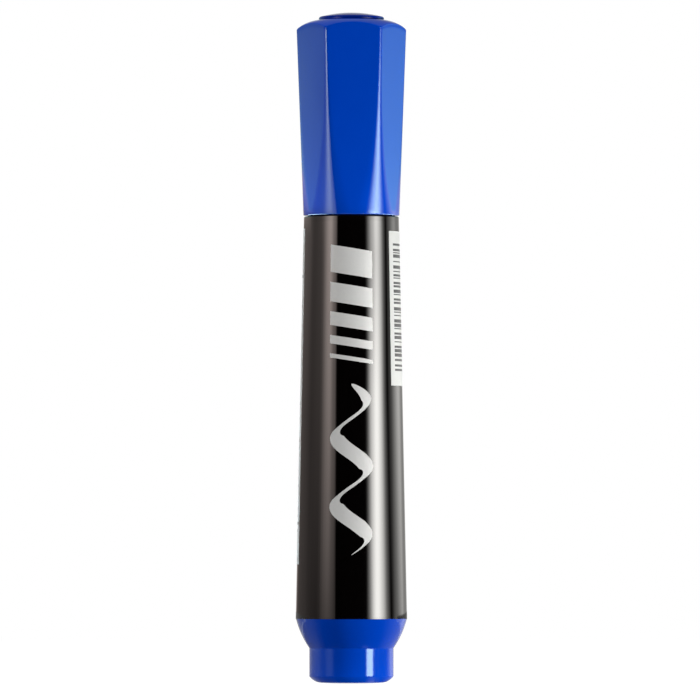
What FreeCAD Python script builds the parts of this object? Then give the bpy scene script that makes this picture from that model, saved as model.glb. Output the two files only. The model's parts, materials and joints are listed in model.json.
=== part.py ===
import FreeCAD, Part
import math
import os

from FreeCAD import Vector

# A chisel-tip marker with a hexagonal pull-off cap, standing on its rear end.
# Millimetres. The origin is the centre of the rear face, +Z runs along the axis to the cap, and the
# front of the label faces -Y. Every piece is turned about Z, apart from the cap's flats and the nib.

# ---- clearances -------------------------------------------------------------------------------
press_gap = 0.02  # between pieces that are pressed or bonded together
slide_gap = 0.08  # between the cap and what it slides over
post_gap = 0.07  # between the rear post and the cap pushed onto it
reservoir_gap = 0.07  # between the reservoir and the bore of the neck
cap_seat_gap = 0.15  # between the cap's mouth and the barrel's front rim

# ---- rear plug: the blue end that closes the barrel, and that the cap is pushed onto in use -----
post_length = 6.7
foot_flat_radius = 5.45
foot_round_height = 1.3  # the rear face curves up this high to the post's wall
shoulder_length = 5.6
shoulder_bulge = 0.27
shoulder_step = 0.05  # the shoulder stays this much inside the barrel's edge
plug_floor = 1.5
plug_wall = 1.2
skirt_length = 7.0
plug_rib_count = 4
plug_rib_thickness = 1.0
plug_rib_rise = 3.6  # from the barrel's rear edge to the reservoir
gate_recess_radius = 2.4
gate_recess_depth = 0.3

# ---- barrel -----------------------------------------------------------------------------------
barrel_length = 76.9
barrel_rear_radius = 10.65
barrel_rim_step = 0.1  # the front rim stays this much inside the cap's mouth
barrel_wall = 1.25
front_rim_round = 0.2
barrel_rib_count = 6
barrel_rib_thickness = 0.9

# ---- label film -------------------------------------------------------------------------------
film_thickness = 0.12
film_rear_margin = 0.4
film_front_margin = 1.0
film_seam = 0.5

# ---- nose section: the neck that the cap grips, and the holder of the nib -----------------------
neck_radius = 7.92
neck_length = 6.8
neck_wall = 0.75
neck_chamfer = 0.5
neck_bead_height = 0.12
neck_bead_width = 0.8
neck_bead_places = (2.2, 4.6)  # above the barrel's rim
neck_seat = 0.22  # how far the neck stands over the barrel's front rim
spigot_length = 8.0
spigot_lead_in = 0.3
nose_base_radius = 7.2
nose_cone_length = 5.0
nose_cone_end_radius = 5.0
nose_wall = 1.1
holder_radius = 4.6
holder_length = 6.6
holder_chamfer = 0.5
guide_wall = 0.8
nose_rib_count = 4
nose_rib_thickness = 0.8
air_channel_radius = 0.45

# ---- nib --------------------------------------------------------------------------------------
nib_width = 5.6
nib_thickness = 3.8
nib_corner_round = 0.9
nib_reach = 8.2  # beyond the holder
nib_slant = 2.4  # the long corner of the writing edge stands this much further out
nib_bevel_length = 4.0
nib_edge_thickness = 1.9
nib_sink = 8.0  # into the reservoir
nib_point_length = 3.0
nib_point_share = 0.45

# ---- ink reservoir ----------------------------------------------------------------------------
wrap_thickness = 0.2
reservoir_inset = 2.2  # its front face lies this far behind the top of the neck

# ---- cap --------------------------------------------------------------------------------------
cap_sides = 6
cap_turn = 2.3  # degrees that the cap sits turned on its round neck
cap_height = 37.55  # from the mouth to the crown
cap_mouth_wall = 1.08
cap_corner_step = 0.08  # the corners stay this much inside the barrel's widest radius
cap_edge_round = 0.9
cap_round_share = 0.97  # how nearly round the mouth is
cap_fade_power = 3  # how fast the corners sharpen away from the mouth
cap_sections = 10
crown_flat_radius = 5.8
crown_round = 7.0
mouth_bore_length = 7.0
mouth_lead_in = 0.3
cavity_step = 0.45  # the cavity above the mouth bore is this much smaller
cavity_draft = 0.35
roof_thickness = 1.3
collar_wall = 0.9
collar_length = 6.0

# ---- cap liner: the inner tube that seals round the holder ---------------------------------------
liner_wall = 0.85
liner_end_thickness = 0.9
liner_lap = 4.9  # of the liner over the holder
liner_lead_in = 0.35

# ---- cap end plug: the round disc on the crown -------------------------------------------------
head_radius = 6.25
head_edge = 0.25
head_rise = 1.4
head_edge_round = 0.4
stem_radius = 3.0

# ---- heights that follow from the sizes above ----------------------------------------------------
barrel_rear = post_length + shoulder_length
barrel_front = barrel_rear + barrel_length
reservoir_rear = barrel_rear + plug_rib_rise
neck_end = barrel_front + neck_length
reservoir_front = neck_end - reservoir_inset
cone_end = neck_end + nose_cone_length
holder_end = cone_end + holder_length
nib_tip = holder_end + nib_reach
nib_rear = reservoir_front - nib_sink
cap_mouth = barrel_front + cap_seat_gap
cap_crown = cap_mouth + cap_height
cap_roof = cap_crown - roof_thickness
liner_mouth = holder_end - liner_lap

# ---- radii that follow from the sizes above ------------------------------------------------------
mouth_bore_radius = neck_radius + neck_bead_height + slide_gap
cap_mouth_radius = mouth_bore_radius + cap_mouth_wall
barrel_front_radius = cap_mouth_radius - barrel_rim_step
cap_corner_radius = barrel_rear_radius - cap_corner_step  # at the height of the crown
post_radius = mouth_bore_radius - post_gap
shoulder_radius = barrel_rear_radius - shoulder_step
skirt_seat_radius = barrel_rear_radius - barrel_wall
spigot_radius = neck_radius - neck_seat
neck_bore_radius = neck_radius - neck_wall
reservoir_radius = neck_bore_radius - reservoir_gap
liner_bore_radius = holder_radius + slide_gap
liner_radius = liner_bore_radius + liner_wall

# ---- small tools ------------------------------------------------------------------------------
AXIS = Vector(0, 0, 1)
ORIGIN = Vector(0, 0, 0)
BEYOND = 1.0  # how far a cutter reaches past the face that it cuts
SAME = 1e-6  # two sizes closer than this are the same


def turned(outline):
    """A solid turned about Z. Each entry of the outline is a corner (radius, height), or the end of
    an arc with a point on its way there: (radius, height, way_radius, way_height)."""
    edges = []
    start = Vector(outline[-1][0], 0, outline[-1][1])
    for entry in outline:
        end = Vector(entry[0], 0, entry[1])
        if len(entry) == 4:
            way = Vector(entry[2], 0, entry[3])
            edges.append(Part.Arc(start, way, end).toShape())
        else:
            edges.append(Part.LineSegment(start, end).toShape())
        start = end
    return Part.Face(Part.Wire(edges)).revolve(ORIGIN, AXIS, 360)


def cylinder(radius, low, high):
    return Part.makeCylinder(radius, high - low, Vector(0, 0, low))


def cone(low_radius, high_radius, low, high):
    return Part.makeCone(low_radius, high_radius, high - low, Vector(0, 0, low))


def wall_between(outer_radius, thickness, low, high, angle):
    """A flat web from the axis out to a radius, at an angle in degrees."""
    web = Part.makeBox(outer_radius, thickness, high - low, Vector(0, -thickness / 2, low))
    web.rotate(ORIGIN, AXIS, angle)
    return web


def rounded_bar(width, thickness, corner_round, low, high):
    """An upright bar with a rounded rectangular section."""
    bar = Part.makeBox(width, thickness, high - low, Vector(-width / 2, -thickness / 2, low))
    upright = [e for e in bar.Edges if abs(e.Vertexes[0].Z - e.Vertexes[1].Z) > corner_round]
    return bar.makeFillet(corner_round, upright)


def circles_at(shape, radius, height):
    """The circular edges of a solid that lie at a radius and a height."""
    found = []
    for edge in shape.Edges:
        if isinstance(edge.Curve, Part.Circle):
            same_radius = abs(edge.Curve.Radius - radius) < SAME
            if same_radius and abs(edge.Curve.Center.z - height) < SAME:
                found.append(edge)
    return found


def on_chord(start, end, bulge):
    """The middle of an arc between two (radius, height) points, standing out from its chord."""
    along_r = end[0] - start[0]
    along_z = end[1] - start[1]
    length = math.hypot(along_r, along_z)
    middle_r = (start[0] + end[0]) / 2 + bulge * along_z / length
    middle_z = (start[1] + end[1]) / 2 - bulge * along_r / length
    return middle_r, middle_z


# ---- barrel -----------------------------------------------------------------------------------
def barrel_radius(height):
    """The outside of the barrel, a straight cone."""
    share = (height - barrel_rear) / barrel_length
    return barrel_rear_radius + (barrel_front_radius - barrel_rear_radius) * share


def make_barrel():
    film_floor = film_thickness + press_gap
    film_low = barrel_rear + film_rear_margin - press_gap
    film_high = barrel_front - film_front_margin + press_gap
    skirt_end = barrel_rear + skirt_length + press_gap
    spigot_end = barrel_front - spigot_length - press_gap

    body = cone(barrel_rear_radius, barrel_front_radius, barrel_rear, barrel_front)
    body = body.makeFillet(front_rim_round, circles_at(body, barrel_front_radius, barrel_front))
    recess = turned([
        (barrel_radius(film_low) - film_floor, film_low),
        (barrel_radius(film_low) + BEYOND, film_low),
        (barrel_radius(film_high) + BEYOND, film_high),
        (barrel_radius(film_high) - film_floor, film_high),
    ])
    bore = turned([
        (0, barrel_rear - BEYOND),
        (skirt_seat_radius, barrel_rear - BEYOND),
        (skirt_seat_radius, skirt_end),
        (barrel_radius(skirt_end) - barrel_wall - film_floor, skirt_end),
        (max(barrel_radius(spigot_end) - barrel_wall - film_floor, spigot_radius), spigot_end),
        (spigot_radius + press_gap, spigot_end),
        (spigot_radius + press_gap, barrel_front + BEYOND),
        (0, barrel_front + BEYOND),
    ])
    ribs = [
        wall_between(barrel_rear_radius - barrel_wall, barrel_rib_thickness, skirt_end, spigot_end,
                     360 / barrel_rib_count * k)
        for k in range(barrel_rib_count)
    ]
    rib_space = cylinder(reservoir_radius + press_gap, barrel_rear, barrel_front)
    inside = ribs[0].multiFuse(ribs[1:]).common(bore).cut(rib_space)
    return body.cut(recess).cut(bore).fuse(inside).removeSplitter()


def make_label_film():
    low = barrel_rear + film_rear_margin
    high = barrel_front - film_front_margin
    film = turned([
        (barrel_radius(low) - film_thickness, low),
        (barrel_radius(low), low),
        (barrel_radius(high), high),
        (barrel_radius(high) - film_thickness, high),
    ])
    seam = Part.makeBox(film_seam, barrel_rear_radius + BEYOND, high - low, Vector(-film_seam / 2, 0, low))
    return film.cut(seam)


# ---- rear plug --------------------------------------------------------------------------------
def make_rear_plug():
    skirt_radius = skirt_seat_radius - press_gap
    skirt_end = barrel_rear + skirt_length
    foot_width = post_radius - foot_flat_radius
    foot_round = (foot_width ** 2 + foot_round_height ** 2) / (2 * foot_round_height)
    foot_way = math.atan2(foot_width, foot_round - foot_round_height) / 2
    shoulder_foot = (post_radius, post_length)
    shoulder_top = (shoulder_radius, barrel_rear)

    plug = turned([
        (0, 0),
        (foot_flat_radius, 0),
        (post_radius, foot_round_height,
         foot_flat_radius + foot_round * math.sin(foot_way), foot_round * (1 - math.cos(foot_way))),
        shoulder_foot,
        (*shoulder_top, *on_chord(shoulder_foot, shoulder_top, shoulder_bulge)),
        (skirt_radius, barrel_rear),
        (skirt_radius, skirt_end),
        (0, skirt_end),
    ])
    inner_foot = (post_radius - plug_wall, post_length)
    inner_top = (skirt_radius - plug_wall, barrel_rear)
    hollow = turned([
        (0, plug_floor),
        (inner_foot[0], plug_floor),
        inner_foot,
        inner_top,
        (inner_top[0], skirt_end + BEYOND),
        (0, skirt_end + BEYOND),
    ])
    ribs = [
        wall_between(skirt_radius, plug_rib_thickness, plug_floor / 2, reservoir_rear,
                     360 / plug_rib_count * (k + 0.5))
        for k in range(plug_rib_count)
    ]
    cross = ribs[0].multiFuse(ribs[1:]).common(plug)
    plug = plug.cut(hollow).fuse(cross)
    gate_recess = cylinder(gate_recess_radius, -BEYOND, gate_recess_depth)
    return plug.cut(gate_recess).removeSplitter()


# ---- nose section -----------------------------------------------------------------------------
def make_nose_section():
    spigot_end = barrel_front - spigot_length
    nose = turned([
        (0, spigot_end),
        (spigot_radius - spigot_lead_in, spigot_end),
        (spigot_radius, spigot_end + spigot_lead_in),
        (spigot_radius, barrel_front),
        (neck_radius, barrel_front),
        (neck_radius, neck_end - neck_chamfer),
        (neck_radius - neck_chamfer, neck_end),
        (nose_base_radius, neck_end),
        (nose_cone_end_radius, cone_end),
        (holder_radius, cone_end),
        (holder_radius, holder_end - holder_chamfer),
        (holder_radius - holder_chamfer, holder_end),
        (0, holder_end),
    ])
    beads = [
        turned([
            (neck_bore_radius, barrel_front + place),
            (neck_radius, barrel_front + place),
            (neck_radius, barrel_front + place + neck_bead_width,
             neck_radius + neck_bead_height, barrel_front + place + neck_bead_width / 2),
            (neck_bore_radius, barrel_front + place + neck_bead_width),
        ])
        for place in neck_bead_places
    ]
    hollow = turned([
        (0, spigot_end - BEYOND),
        (neck_bore_radius, spigot_end - BEYOND),
        (neck_bore_radius, reservoir_front),
        (nose_base_radius - nose_wall, neck_end),
        (nose_cone_end_radius - nose_wall, cone_end - nose_wall),
        (0, cone_end - nose_wall),
    ])
    guide = rounded_bar(nib_width + 2 * guide_wall, nib_thickness + 2 * guide_wall,
                        nib_corner_round + guide_wall, reservoir_front + press_gap, cone_end)
    ribs = [
        wall_between(neck_bore_radius, nose_rib_thickness, reservoir_front + press_gap, cone_end,
                     360 / nose_rib_count * k)
        for k in range(nose_rib_count)
    ]
    inside = guide.multiFuse(ribs).common(nose)
    nib_slot = rounded_bar(nib_width + 2 * press_gap, nib_thickness + 2 * press_gap,
                           nib_corner_round + press_gap, nib_rear, holder_end + BEYOND)
    channels = [
        Part.makeCylinder(air_channel_radius, holder_end - nib_rear + BEYOND,
                          Vector(0, side * nib_thickness / 2, nib_rear))
        for side in (-1, 1)
    ]
    nose = nose.multiFuse(beads).cut(hollow).fuse(inside)
    return nose.cut(nib_slot).cut(channels[0]).cut(channels[1]).removeSplitter()


# ---- nib --------------------------------------------------------------------------------------
def upright_plate(corners, depth, along_x):
    """A plate with its outline in a plane through Z, centred on it and extruded across it."""
    if along_x:
        points = [Vector(-depth / 2, across, height) for across, height in corners]
        travel = Vector(depth, 0, 0)
    else:
        points = [Vector(across, -depth / 2, height) for across, height in corners]
        travel = Vector(0, depth, 0)
    return Part.Face(Part.makePolygon([*points, points[0]])).extrude(travel)


def nib_body(grow, rear):
    """The felt bar down to its point, grown by a clearance for the pocket that it sinks into."""
    width = nib_width + 2 * grow
    thickness = nib_thickness + 2 * grow
    bar = rounded_bar(width, thickness, nib_corner_round + grow, rear, nib_tip)
    for across, along_x in ((width, False), (thickness, True)):
        half = across / 2
        point = half * nib_point_share
        taper = upright_plate([
            (-point, rear),
            (point, rear),
            (half, rear + nib_point_length),
            (half, nib_tip),
            (-half, nib_tip),
            (-half, rear + nib_point_length),
        ], 2 * nib_width, along_x)
        bar = bar.common(taper)
    return bar


def make_nib():
    half_width = nib_width / 2
    half_thickness = nib_thickness / 2
    bevel_start = nib_tip - nib_slant - nib_bevel_length
    slant = upright_plate([
        (-half_width, nib_rear),
        (half_width, nib_rear),
        (half_width, nib_tip),
        (-half_width, nib_tip - nib_slant),
    ], 2 * nib_thickness, False)
    wedge = upright_plate([
        (-half_thickness, nib_rear),
        (half_thickness, nib_rear),
        (half_thickness, bevel_start),
        (nib_edge_thickness / 2, nib_tip),
        (-nib_edge_thickness / 2, nib_tip),
        (-half_thickness, bevel_start),
    ], 2 * nib_width, True)
    return nib_body(0, nib_rear).common(slant).common(wedge).removeSplitter()


# ---- ink reservoir ----------------------------------------------------------------------------
def make_reservoir_core():
    core_radius = reservoir_radius - wrap_thickness - press_gap
    core = cylinder(core_radius, reservoir_rear, reservoir_front)
    return core.cut(nib_body(press_gap, nib_rear - press_gap))


def make_reservoir_wrap():
    outside = cylinder(reservoir_radius, reservoir_rear, reservoir_front)
    return outside.cut(cylinder(reservoir_radius - wrap_thickness, reservoir_rear, reservoir_front))


# ---- cap --------------------------------------------------------------------------------------
def rounded_polygon(corner_radius, edge_round, height):
    """The cap's section: a regular polygon with rounded corners, as a closed wire."""
    step = 360 / cap_sides
    corner_place = corner_radius - edge_round
    arcs = []
    for k in range(cap_sides):
        corner_angle = cap_turn - 90 + step * (k + 0.5)
        centre = Vector(corner_place * math.cos(math.radians(corner_angle)),
                        corner_place * math.sin(math.radians(corner_angle)), height)
        on_arc = [
            centre + Vector(edge_round * math.cos(math.radians(corner_angle + turn)),
                            edge_round * math.sin(math.radians(corner_angle + turn)), 0)
            for turn in (-step / 2, 0, step / 2)
        ]
        arcs.append(on_arc)
    edges = []
    for k in range(cap_sides):
        edges.append(Part.Arc(*arcs[k]).toShape())
        edges.append(Part.LineSegment(arcs[k][2], arcs[(k + 1) % cap_sides][0]).toShape())
    return Part.Wire(edges)


def cap_section(rise):
    """The cap's section at a height above its mouth: nearly round there, and sharper further up."""
    share = rise / cap_height
    corner = cap_mouth_radius + (cap_corner_radius - cap_mouth_radius) * share
    fade = cap_round_share * max(1 - share, 0) ** cap_fade_power
    edge = cap_edge_round + (corner - cap_edge_round) * fade
    return rounded_polygon(corner, edge, cap_mouth + rise)


def make_cap_shell():
    rises = [(cap_height + BEYOND) * k / (cap_sections - 1) for k in range(cap_sections)]
    sides = Part.makeLoft([cap_section(rise) for rise in rises], True, False)
    reach = crown_flat_radius + crown_round
    way = crown_round * math.sqrt(0.5)
    domed = turned([
        (0, cap_mouth),
        (reach, cap_mouth),
        (reach, cap_crown - crown_round),
        (crown_flat_radius, cap_crown, crown_flat_radius + way, cap_crown - crown_round + way),
        (0, cap_crown),
    ])
    bore_end = cap_mouth + mouth_bore_length
    cavity_radius = mouth_bore_radius - cavity_step
    hollow = turned([
        (0, cap_mouth - BEYOND),
        (mouth_bore_radius + mouth_lead_in, cap_mouth - BEYOND),
        (mouth_bore_radius + mouth_lead_in, cap_mouth),
        (mouth_bore_radius, cap_mouth + mouth_lead_in),
        (mouth_bore_radius, bore_end),
        (cavity_radius, bore_end),
        (cavity_radius - cavity_draft, cap_roof),
        (0, cap_roof),
    ])
    collar = cylinder(liner_radius + press_gap + collar_wall, cap_roof - collar_length, cap_roof + press_gap)
    collar = collar.cut(cylinder(liner_radius + press_gap, cap_roof - collar_length, cap_roof + press_gap))
    stem_hole = cylinder(stem_radius + press_gap, cap_roof - BEYOND, cap_crown + BEYOND)
    return sides.common(domed).cut(hollow).fuse(collar).cut(stem_hole).removeSplitter()


def make_cap_liner():
    return turned([
        (liner_bore_radius + liner_lead_in, liner_mouth),
        (liner_radius, liner_mouth),
        (liner_radius, cap_roof),
        (0, cap_roof),
        (0, cap_roof - liner_end_thickness),
        (liner_bore_radius, cap_roof - liner_end_thickness),
        (liner_bore_radius, liner_mouth + liner_lead_in),
    ])


def make_cap_end_plug():
    """A domed head on a stem. The dome's radius follows from its rise over the head."""
    dome_foot = head_radius - head_edge_round
    dome_rise = head_rise - head_edge - head_edge_round
    dome_radius = (dome_foot ** 2 + dome_rise ** 2) / (2 * dome_rise)
    way_radius = dome_foot / 2
    way_height = cap_crown + head_rise - dome_radius + math.sqrt(dome_radius ** 2 - way_radius ** 2)
    round_way = head_edge_round * math.sqrt(0.5)
    edge_top = cap_crown + head_edge
    return turned([
        (0, cap_roof),
        (stem_radius, cap_roof),
        (stem_radius, cap_crown),
        (head_radius, cap_crown),
        (head_radius, edge_top),
        (dome_foot, edge_top + head_edge_round, dome_foot + round_way, edge_top + round_way),
        (0, cap_crown + head_rise, way_radius, way_height),
    ])


NODES = {
    "rear_plug": make_rear_plug,
    "barrel": make_barrel,
    "label_film": make_label_film,
    "reservoir_core": make_reservoir_core,
    "reservoir_wrap": make_reservoir_wrap,
    "nose_section": make_nose_section,
    "nib": make_nib,
    "cap_shell": make_cap_shell,
    "cap_liner": make_cap_liner,
    "cap_end_plug": make_cap_end_plug,
}

os.makedirs("parts", exist_ok=True)
for name, make in NODES.items():
    shape = make()
    shape.exportStep(f"parts/{name}.step")
    print(f"{name}: {len(shape.Solids)} solid, valid {shape.isValid()}, {shape.Volume:.1f} mm3")
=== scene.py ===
# %% [markdown]
# # A chisel-tip marker with a hexagonal cap
# The marker stands on its rear end. From the bottom up it is a blue rear plug, a black tapered barrel
# in a printed film sleeve, and a blue cap, which is round at its mouth and hexagonal at its crown.
# Under the cap are the black nose that grips it and the felt nib.
#
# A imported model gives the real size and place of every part. This file only dresses it: each part that
# shows gets a finer mesh of the same shape, and every part gets the finish of its real material.

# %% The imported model
import json
import math

import bmesh
import bpy
from mathutils import Matrix, Vector, noise


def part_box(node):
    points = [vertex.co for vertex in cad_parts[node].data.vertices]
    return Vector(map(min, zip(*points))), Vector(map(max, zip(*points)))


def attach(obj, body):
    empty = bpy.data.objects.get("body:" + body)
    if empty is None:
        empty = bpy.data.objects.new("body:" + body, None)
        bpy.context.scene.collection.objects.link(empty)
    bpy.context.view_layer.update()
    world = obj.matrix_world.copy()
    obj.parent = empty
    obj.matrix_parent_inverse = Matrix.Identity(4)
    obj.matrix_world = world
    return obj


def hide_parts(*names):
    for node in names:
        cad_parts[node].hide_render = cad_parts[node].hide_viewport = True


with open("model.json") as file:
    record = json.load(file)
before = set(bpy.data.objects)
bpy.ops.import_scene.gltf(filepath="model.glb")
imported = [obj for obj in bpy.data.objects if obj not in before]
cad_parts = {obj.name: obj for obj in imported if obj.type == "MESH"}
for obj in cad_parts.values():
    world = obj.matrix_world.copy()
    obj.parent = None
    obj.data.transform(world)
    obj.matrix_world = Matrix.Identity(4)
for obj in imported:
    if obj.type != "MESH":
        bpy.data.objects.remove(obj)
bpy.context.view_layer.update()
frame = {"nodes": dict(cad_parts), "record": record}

# %% [markdown]
# ## Millimetres
# The model is in metres, but a moulder thinks of a pen in millimetres. The sizes of the pieces are in
# millimetres, and turn to metres only where a mesh is made. Most of them are read from the boxes of
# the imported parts, so that the dress follows the model.

# %% Sizes read from the model
MM = 0.001


def span(node):
    """A part's lowest and highest point along the axis, and its greatest radius, in millimetres."""
    low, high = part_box(node)
    return low.z / MM, high.z / MM, high.x / MM


barrel_rear, barrel_front, barrel_rear_radius = span("barrel")
film_low, film_high, film_low_radius = span("label_film")
cap_mouth, cap_crown, _ = span("cap_shell")
liner_mouth, cap_roof, liner_radius = span("cap_liner")
_, marker_top, head_radius = span("cap_end_plug")
post = next(m for m in frame["record"]["mounts"] if m["name"] == "rear_post")
post_radius = post["dims"]["r_mm"]
print(f"barrel {barrel_rear:.2f} to {barrel_front:.2f}, cap {cap_mouth:.2f} to {marker_top:.2f} mm")

# %% [markdown]
# ## Colours and nodes
# A colour is easiest to name as it looks on a screen, but the renderer mixes light in linear values.
# One function turns a hex code to linear colour. Another adds a node with its settings and links, so
# that a node tree reads as a list.

# %% A colour from its hex code
def linear(code):
    values = [int(code[k:k + 2], 16) / 255 for k in (0, 2, 4)]
    return (*(v / 12.92 if v <= 0.04045 else ((v + 0.055) / 1.055) ** 2.4 for v in values), 1.0)


# %% A node with its settings and links
def add_node(tree, kind, inputs=None, **settings):
    """inputs maps a socket to a value, to an output, or to a node whose first output feeds it."""
    node = tree.nodes.new(kind)
    for name, value in settings.items():
        setattr(node, name, value)
    for key, value in (inputs or {}).items():
        value = value.outputs[0] if isinstance(value, bpy.types.Node) else value
        if isinstance(value, bpy.types.NodeSocket):
            tree.links.new(value, node.inputs[key])
        else:
            node.inputs[key].default_value = value
    return node


# %% A material without nodes, and an object that is put in the scene
def empty_material(name):
    material = bpy.data.materials.new(name)
    material.use_nodes = True
    material.node_tree.nodes.clear()
    return material, material.node_tree


def put_in_scene(name, data):
    piece = bpy.data.objects.new(name, data)
    bpy.context.scene.collection.objects.link(piece)
    return piece


# %% A pattern's scale from its real size
def per(size_mm):
    """A noise texture draws about one feature a unit, so its scale is one over the feature's size."""
    return 1 / (size_mm * MM)


# %% [markdown]
# ## A material from its real one
# All these materials are plastics, inks and fibres, so one plain recipe serves: a Principled surface,
# with two tones mixed by a noise, a roughness that varies a little, and a fine bump. What differs is
# the size and direction of the grain. A stretched grain is a 3-D noise squeezed in two directions.

# %% The recipe
NOISE_LOW = 0.3  # a noise's values lie mostly between these two
NOISE_HIGH = 0.7
CLOUD_DETAIL = 3.0
BUMP_DETAIL = 2.0


def make_material(name, tone, second_tone, grain_mm, roughness, bump_mm, bump_grain_mm, sockets=None):
    """Tones are hex codes, grains are (across, along) sizes in mm, roughness is (least, most)."""
    material, tree = empty_material(name)
    place = add_node(tree, "ShaderNodeTexCoord").outputs["Object"]

    def grain(size, detail):
        across, along = size
        stretched = add_node(tree, "ShaderNodeMapping", {
            "Vector": place, "Scale": (per(across), per(across), per(along))})
        return add_node(tree, "ShaderNodeTexNoise", {
            "Vector": stretched, "Scale": 1.0, "Detail": detail})

    cloud = grain(grain_mm, CLOUD_DETAIL)
    colour = add_node(tree, "ShaderNodeMix", {
        0: cloud, 6: linear(tone), 7: linear(second_tone)}, data_type="RGBA")
    rough = add_node(tree, "ShaderNodeMapRange", {
        "Value": cloud, "From Min": NOISE_LOW, "From Max": NOISE_HIGH,
        "To Min": roughness[0], "To Max": roughness[1]})
    bump = add_node(tree, "ShaderNodeBump", {
        "Height": grain(bump_grain_mm, BUMP_DETAIL), "Strength": 1.0, "Distance": bump_mm * MM})
    surface = add_node(tree, "ShaderNodeBsdfPrincipled", {
        "Base Color": colour.outputs[2], "Roughness": rough, "Normal": bump,
        **(sockets or {})})
    add_node(tree, "ShaderNodeOutputMaterial", {0: surface})
    return material


# %% [markdown]
# ## Moulded plastics
# The cap and the rear plug are one blue polypropylene, moulded in a polished tool. The melt leaves the
# pigment a shade deeper in broad swirls, and the skin has a faint orange peel about a millimetre wide,
# only a fraction of a micrometre deep, which is enough to make a reflection's edge waver. The pigment
# lies so close under the skin that what the blue mirrors comes back a little bluer; its specular tint
# does that. The disc on the crown is painted a deeper blue: painted shade, which stands in for the dark
# shadowed band under its edge. The barrel and the nose are the same plastic in black, the nose a little
# duller.

# %% Blue and black polypropylene
blue_polypropylene = make_material(
    "blue_polypropylene_polished", "0045CA", "0049CF", (5.0, 9.0), (0.06, 0.1), 0.0006, (1.1, 1.6),
    {"IOR": 1.49, "Specular Tint": linear("DEFFFF")})
# Painted shade: the disc is darker all over, so that its edge looks shadowed.
shade_darkened_blue_polypropylene = make_material(
    "blue_polypropylene_painted_shade", "002890", "002C96", (3.0, 3.0), (0.09, 0.13), 0.0006, (1.1, 1.1),
    {"IOR": 1.49, "Specular IOR Level": 0.2})
black_polypropylene = make_material(
    "black_polypropylene_polished", "060404", "090606", (4.0, 8.0), (0.05, 0.09), 0.0006, (1.0, 1.4),
    {"IOR": 1.53})
nose_polypropylene = make_material(
    "black_polypropylene_satin", "111010", "161414", (3.0, 3.0), (0.28, 0.36), 0.002, (0.35, 0.35),
    {"IOR": 1.49})

# %% [markdown]
# The liner is polyethylene without pigment. It is milky: light goes in a little way and comes out
# again, so it takes a little subsurface scattering and no gloss to speak of.

# %% Natural polyethylene
natural_polyethylene = make_material(
    "natural_polyethylene", "E2E5E2", "EBEDEA", (3.0, 3.0), (0.38, 0.46), 0.002, (0.5, 0.5),
    {"IOR": 1.51, "Subsurface Weight": 0.25, "Subsurface Radius": (0.0012, 0.0012, 0.0011)})

# %% [markdown]
# ## The printed sleeve
# The sleeve is a polyester film, black all over, with a high gloss. It was drawn along the pen, which
# leaves draw lines that run up the barrel and comb every reflection into fine vertical streaks. Silver
# and white inks lie on it as a thin, slightly chalky layer.

# %% Film and inks
black_film = make_material(
    "black_polyester_film", "030202", "060404", (0.5, 30.0), (0.05, 0.08), 0.0007, (0.35, 45.0),
    {"IOR": 1.55})
silver_ink = make_material(
    "silver_grey_ink", "DCDCDA", "E4E4E1", (0.4, 0.4), (0.42, 0.5), 0.001, (0.12, 0.12),
    {"IOR": 1.45})
white_ink = make_material(
    "white_ink", "D8D8D4", "DCDCD8", (0.6, 0.6), (0.40, 0.48), 0.001, (0.12, 0.12),
    {"IOR": 1.45})
dark_ink = make_material(
    "black_overprint", "262424", "302E2E", (0.3, 0.3), (0.34, 0.42), 0.001, (0.12, 0.12),
    {"IOR": 1.45})

# %% [markdown]
# ## Fibres
# The nib is polyester fibre pressed and ground to a chisel, full of blue ink. The fibres run along it,
# about 0.05 mm thick; here they are drawn twice as coarse, so that they show. The reservoir is looser
# fibre of the same kind, in a clear film.

# %% Felt, reservoir fibre and clear film
pressed_felt = make_material(
    "pressed_polyester_felt", "0A1A5E", "142A84", (0.12, 1.6), (0.75, 0.9), 0.02, (0.10, 1.2),
    {"IOR": 1.4, "Sheen Weight": 0.25, "Sheen Roughness": 0.5})
reservoir_fibre = make_material(
    "ink_soaked_polyester_fibre", "12307C", "2A4CA4", (0.25, 6.0), (0.6, 0.8), 0.05, (0.22, 8.0),
    {"IOR": 1.4, "Sheen Weight": 0.2})
clear_film = make_material(
    "clear_polypropylene_film", "E6EAEE", "F0F3F6", (2.0, 20.0), (0.08, 0.14), 0.001, (0.8, 12.0),
    {"IOR": 1.49, "Transmission Weight": 0.85})
print("materials:", len(bpy.data.materials))

# %% [markdown]
# ## Turned shapes
# Most of a pen is turned about one axis. Such a piece is drawn as half of its section, a closed outline
# of corners (radius, height), some of them rounded, and swept round. Two things make its gloss look
# right. Each rounded corner is a real arc of small faces. And each straight run has a point close to
# each of its ends, so that the smooth shading of the arc doesn't bleed into the flat wall.

# %% Rounded corners
ARC_STEPS = 7
HOLD = 0.05  # how close to a corner the shading is held
SHORTEST_HELD = 6 * HOLD  # a shorter run has no room for it


def rounded(corners):
    """Closed outline of (radius, height) points. A corner with a third number is rounded by it."""
    points = []
    for k, corner in enumerate(corners):
        here = Vector(corner[:2])
        if len(corner) < 3:
            points.append(here)
            continue
        back = (Vector(corners[k - 1][:2]) - here).normalized()
        ahead = (Vector(corners[(k + 1) % len(corners)][:2]) - here).normalized()
        half_angle = back.angle(ahead) / 2
        reach = corner[2] / math.tan(half_angle)
        centre = here + (back + ahead).normalized() * corner[2] / math.sin(half_angle)
        first = here + back * reach - centre
        last = here + ahead * reach - centre
        sweep = first.angle_signed(last)
        for step in range(ARC_STEPS + 1):
            points.append(centre + Matrix.Rotation(-sweep * step / ARC_STEPS, 2) @ first)
    return points


def quarter():
    """Steps round a quarter of a circle, as (cosine, sine)."""
    bends = [math.pi / 2 * step / ARC_STEPS for step in range(ARC_STEPS + 1)]
    return [(math.cos(bend), math.sin(bend)) for bend in bends]


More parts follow.
